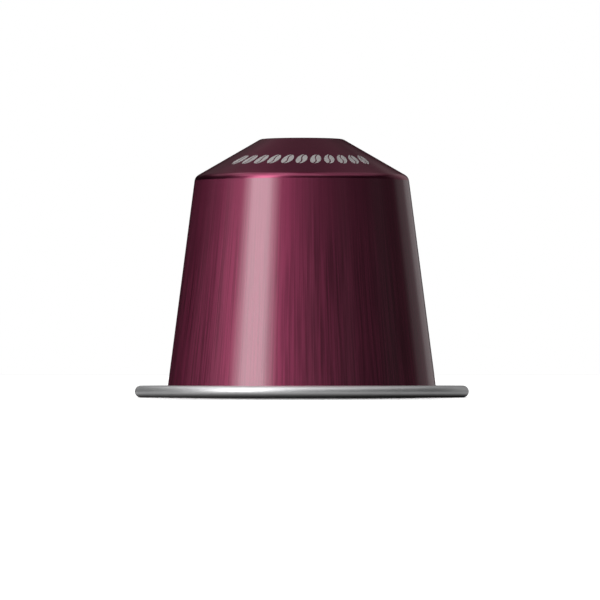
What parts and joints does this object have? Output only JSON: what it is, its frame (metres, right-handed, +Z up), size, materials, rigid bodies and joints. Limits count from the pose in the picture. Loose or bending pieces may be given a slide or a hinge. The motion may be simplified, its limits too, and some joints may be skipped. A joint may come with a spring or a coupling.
{
  "type": "coffee pod",
  "caption": "Sealed single-serve coffee capsule: tapered aluminium cup with a coned, dished top, rolled rim, foil lid and soft sealing ring, standing on its rim.",
  "frame": {"origin": "centre of the flat ring that the rolled rim stands on", "axes": "+Z up along the capsule's axis, from the rim and foil to the coned top; X and Y lie in the surface that the rim stands on, and the capsule is round, so their directions are free"},
  "size_m": [0.037, 0.037, 0.0287],
  "materials": {
    "wine_lacquered_aluminium": "brushed along the wall under a clear wine-red lacquer, satin",
    "bare_aluminium": "bare, satin",
    "pale_silicone": "soft matte"
  },
  "bodies": {
    "root": {"capsule_body": "wine_lacquered_aluminium", "foil_lid": "bare_aluminium", "sealing_ring": "pale_silicone"}
  },
  "joints": []
}
